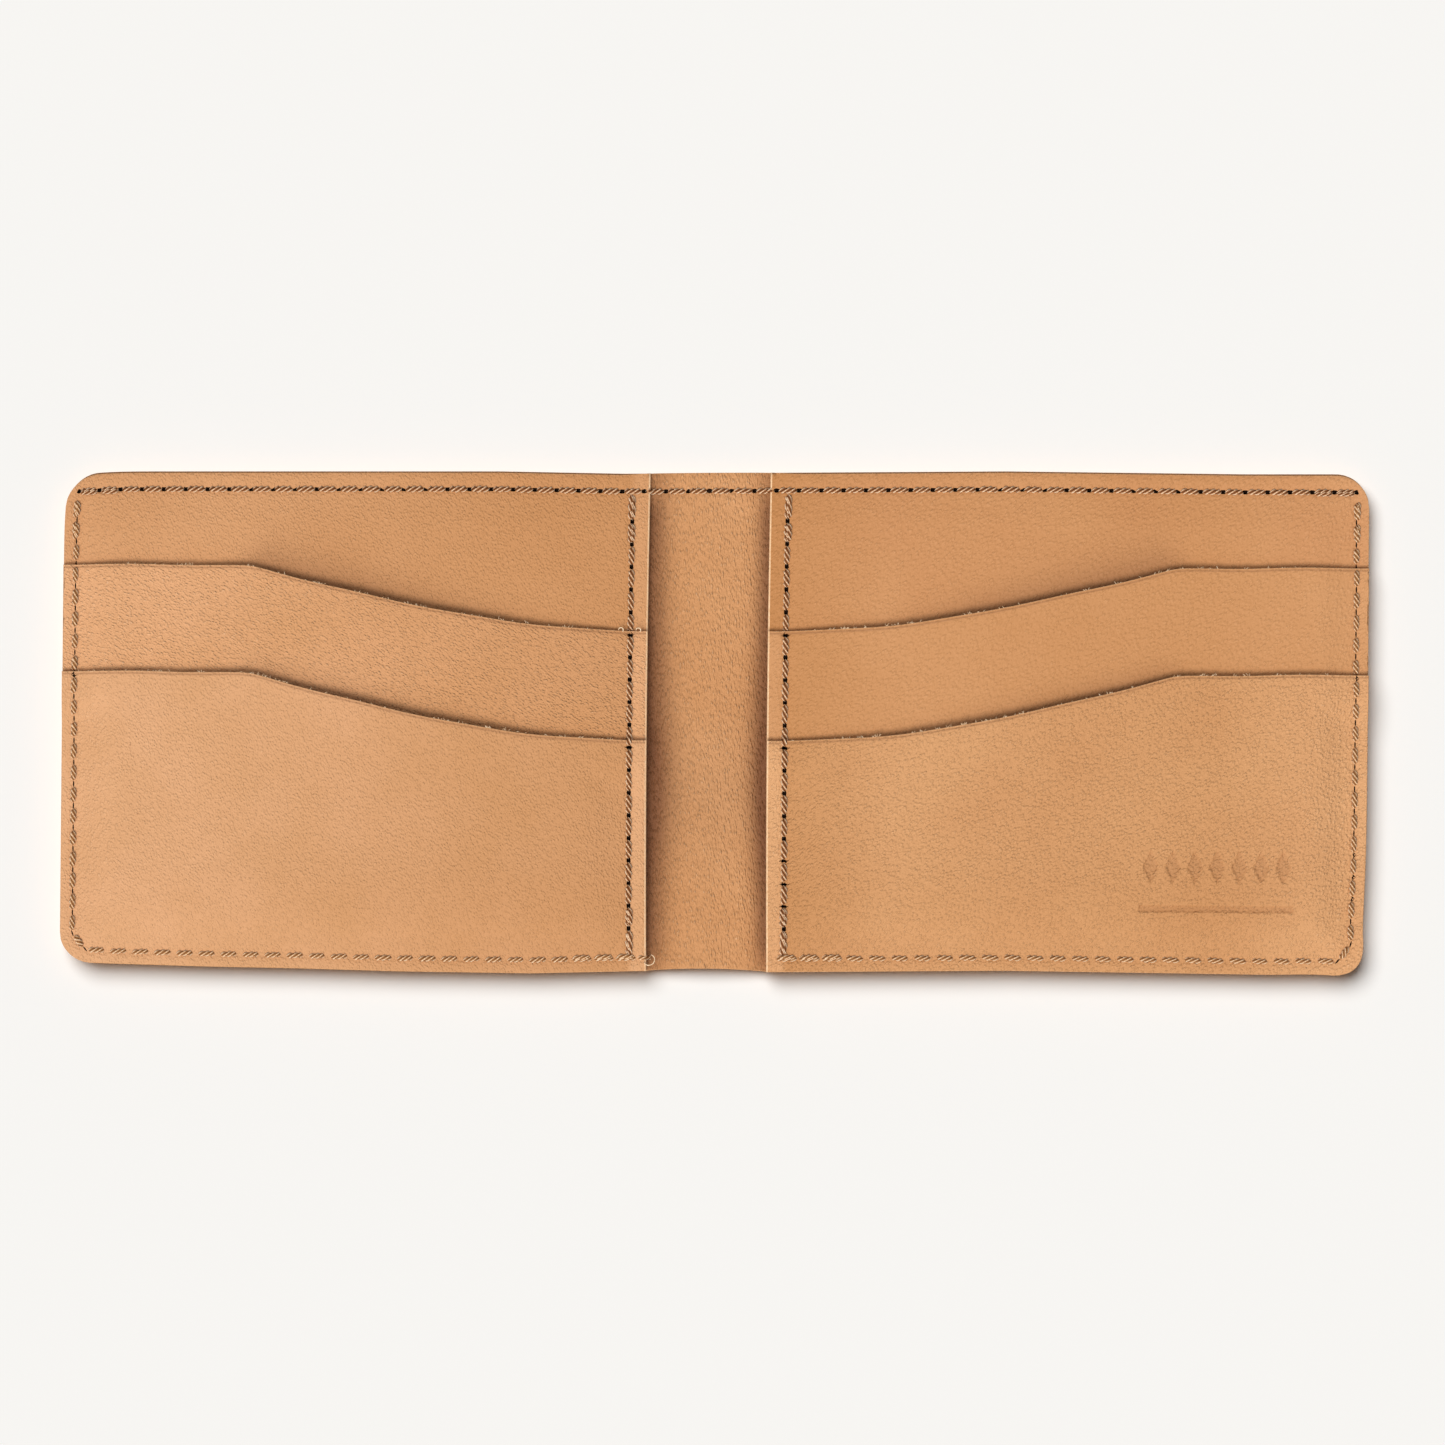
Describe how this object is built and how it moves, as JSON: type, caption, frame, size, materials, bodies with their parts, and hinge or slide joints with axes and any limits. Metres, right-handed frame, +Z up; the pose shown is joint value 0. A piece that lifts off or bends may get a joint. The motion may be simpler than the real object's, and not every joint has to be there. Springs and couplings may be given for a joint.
{
  "type": "bifold wallet",
  "caption": "Bifold wallet of natural vegetable-tanned leather, lying open: stepped card pockets on both halves, a bill compartment behind them and a spine that folds shut.",
  "frame": {"origin": "middle of the wallet's underside, lying open flat", "axes": "+X along the open width, from the left half to the right half; +Y towards the open edge of the bill compartment; +Z up, out of the card side"},
  "size_m": [0.222, 0.0856, 0.0071],
  "materials": {
    "cover_leather": "matte, natural vegetable-tanned grain leather",
    "divider_leather": "matte, natural vegetable-tanned grain leather",
    "panel_leather": "matte, natural vegetable-tanned grain leather",
    "pocket_leather": "matte, natural vegetable-tanned grain leather",
    "needle_thread": "waxed twisted polyester thread, tan brown",
    "bobbin_thread": "waxed twisted polyester thread, tan brown"
  },
  "bodies": {
    "left_half": {"left_outer_cover": "cover_leather", "left_bill_divider": "divider_leather", "left_back_panel": "panel_leather", "left_middle_pocket": "pocket_leather", "left_front_pocket": "pocket_leather", "left_top_needle_thread": "needle_thread", "left_top_bobbin_thread": "bobbin_thread", "left_inner_needle_thread": "needle_thread", "left_inner_bobbin_thread": "bobbin_thread", "left_perimeter_needle_thread": "needle_thread", "left_perimeter_bobbin_thread": "bobbin_thread", "left_stop_needle_thread": "needle_thread", "left_stop_bobbin_thread": "bobbin_thread"},
    "spine": {"spine_outer_cover": "cover_leather", "spine_bill_divider": "divider_leather", "spine_needle_thread": "needle_thread", "spine_bobbin_thread": "bobbin_thread"},
    "right_half": {"right_outer_cover": "cover_leather", "right_bill_divider": "divider_leather", "right_back_panel": "panel_leather", "right_middle_pocket": "pocket_leather", "right_front_pocket": "pocket_leather", "right_top_needle_thread": "needle_thread", "right_top_bobbin_thread": "bobbin_thread", "right_inner_needle_thread": "needle_thread", "right_inner_bobbin_thread": "bobbin_thread", "right_perimeter_needle_thread": "needle_thread", "right_perimeter_bobbin_thread": "bobbin_thread", "right_stop_needle_thread": "needle_thread", "right_stop_bobbin_thread": "bobbin_thread"}
  },
  "joints": [
    {"name": "left_crease", "type": "hinge", "parent": "left_half", "child": "spine", "pos_m": [-0.0056, 0, 0.0021], "axis": [0, -1, 0], "range_deg": [0, 90]},
    {"name": "right_crease", "type": "hinge", "parent": "spine", "child": "right_half", "pos_m": [0.0056, 0, 0.0021], "axis": [0, -1, 0], "range_deg": [0, 90]}
  ],
  "couplings": [
    {"joint": "right_crease", "follows": "left_crease", "ratio": 1}
  ]
}
